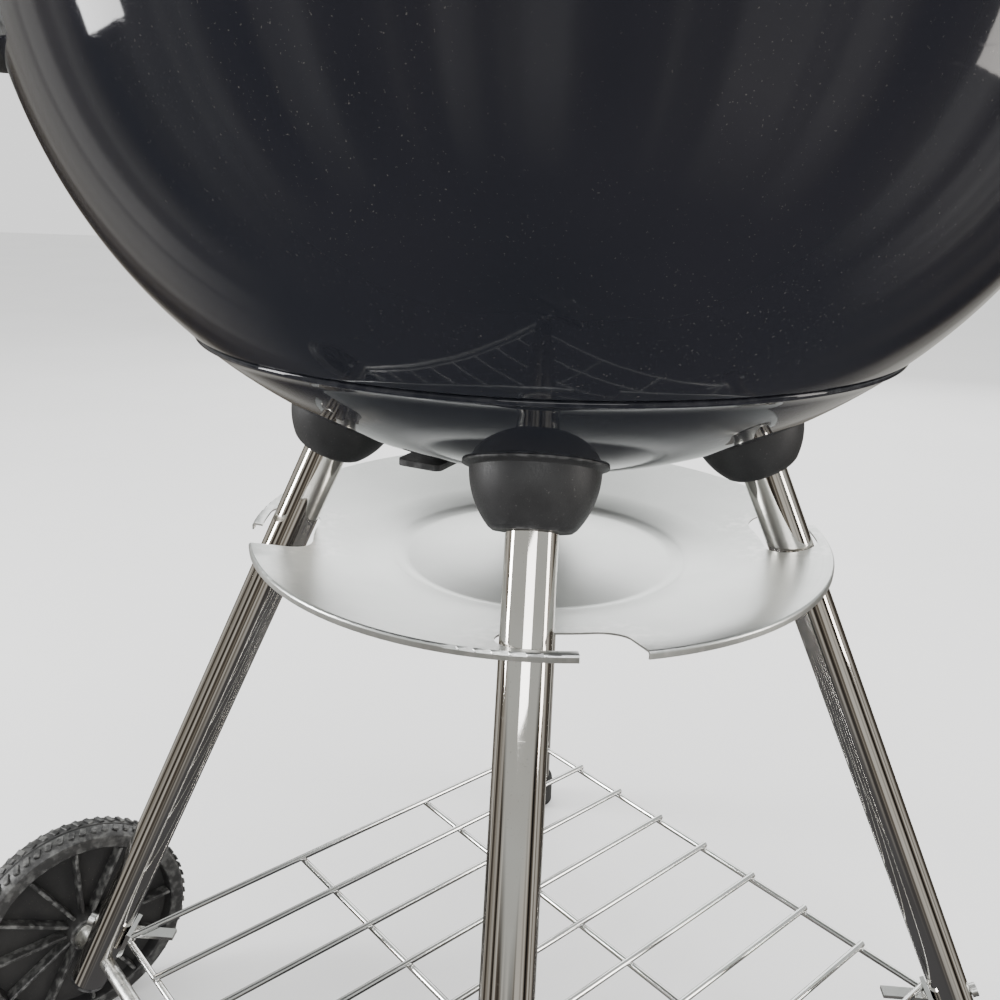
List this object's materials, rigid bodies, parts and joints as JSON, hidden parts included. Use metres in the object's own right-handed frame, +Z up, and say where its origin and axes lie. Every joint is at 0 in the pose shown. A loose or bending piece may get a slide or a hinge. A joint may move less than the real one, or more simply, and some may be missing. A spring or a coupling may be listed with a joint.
{
  "type": "kettle charcoal grill",
  "caption": "Kettle charcoal grill: domed lid, deep enamelled bowl, splayed tube legs in black cups, twist-off ash dish, wire rack and a wheeled axle.",
  "frame": {"origin": "on the floor at the middle of the bounding box; the middle of the bowl is at x = y = 19.9 mm", "axes": "+Z up; -Y towards the front leg; +X towards the right leg, so the two wheels are on the left and front legs"},
  "size_m": [0.7613, 0.7613, 1.0012],
  "materials": {
    "enamel": "glossy black fired enamel on pressed steel",
    "zinc_steel": "zinc-plated steel",
    "damper_alu": "pressed aluminium sheet",
    "black_plastic": "black heat-proof moulding with a fine grain",
    "chrome_tube": "polished chrome plate on steel tube",
    "wheel_plastic": "black blow-moulded wheel plastic",
    "black_rubber": "black rubber",
    "spun_aluminium": "satin spun aluminium sheet",
    "chrome_wire": "bright plated wire",
    "grate_steel": "plain steel wire"
  },
  "bodies": {
    "stand_and_bowl": {"kettle_bowl": "enamel", "grate_rests": "zinc_steel", "bowl_damper_rivet": "zinc_steel", "leg_cup_front": "black_plastic", "leg_front": "chrome_tube", "leg_cup_right": "black_plastic", "leg_right": "chrome_tube", "leg_cup_back": "black_plastic", "leg_back": "chrome_tube", "leg_cup_left": "black_plastic", "leg_left": "chrome_tube", "leg_plug_left": "black_plastic", "wheel_cap_left": "zinc_steel", "leg_plug_front": "black_plastic", "wheel_cap_front": "zinc_steel", "foot_cap_right": "black_rubber", "foot_cap_back": "black_rubber", "leg_bolts": "zinc_steel", "leg_inserts": "black_plastic", "wire_shelf": "chrome_wire", "shelf_bolts": "zinc_steel", "axle": "zinc_steel", "axle_washers": "zinc_steel", "right_handle_bracket": "zinc_steel", "right_handle_grip": "black_plastic", "left_handle_bracket": "zinc_steel", "left_handle_grip": "black_plastic", "side_handle_screws": "zinc_steel"},
    "lid": {"kettle_lid": "enamel", "lid_damper_rivet": "zinc_steel", "lid_handle_bracket": "zinc_steel", "lid_handle_grip": "black_plastic", "lid_handle_screws": "zinc_steel"},
    "lid_vent": {"lid_damper": "damper_alu"},
    "bowl_vent": {"bowl_damper": "damper_alu", "damper_tab": "black_plastic"},
    "cook_grate": {"cooking_grate": "chrome_wire"},
    "coal_grate": {"charcoal_grate": "grate_steel"},
    "ash_dish": {"ash_catcher": "spun_aluminium"},
    "left_wheel": {"wheel_left": "wheel_plastic"},
    "front_wheel": {"wheel_front": "wheel_plastic"}
  },
  "joints": [
    {"name": "lid_lift", "type": "slide", "parent": "stand_and_bowl", "child": "lid", "axis": [0, 0, 1], "range_m": [0, 0.25]},
    {"name": "lid_vent_turn", "type": "hinge", "parent": "lid", "child": "lid_vent", "pos_m": [0.0199, 0.0199, 0.60267], "axis": [0.3596, -0.3018, 0.8829], "range_deg": [0, 55]},
    {"name": "bowl_vent_turn", "type": "hinge", "parent": "stand_and_bowl", "child": "bowl_vent", "pos_m": [0.0199, 0.0199, 0.475], "axis": [0, 0, 1], "range_deg": [0, 22]},
    {"name": "cook_grate_lift", "type": "slide", "parent": "stand_and_bowl", "child": "cook_grate", "axis": [0, 0, 1], "range_m": [0, 0.008]},
    {"name": "coal_grate_lift", "type": "slide", "parent": "stand_and_bowl", "child": "coal_grate", "axis": [0, 0, 1], "range_m": [0, 0.06]},
    {"name": "ash_dish_twist", "type": "hinge", "parent": "stand_and_bowl", "child": "ash_dish", "pos_m": [0.0199, 0.0199, 0.43], "axis": [0, 0, -1], "range_deg": [0, 13.5]},
    {"name": "left_wheel_spin", "type": "hinge", "parent": "stand_and_bowl", "child": "left_wheel", "pos_m": [-0.2866, 0.0199, 0.08], "axis": [0.7071, -0.7071, 0], "continuous": true},
    {"name": "front_wheel_spin", "type": "hinge", "parent": "stand_and_bowl", "child": "front_wheel", "pos_m": [0.0199, -0.2866, 0.08], "axis": [0.7071, -0.7071, 0], "continuous": true}
  ]
}
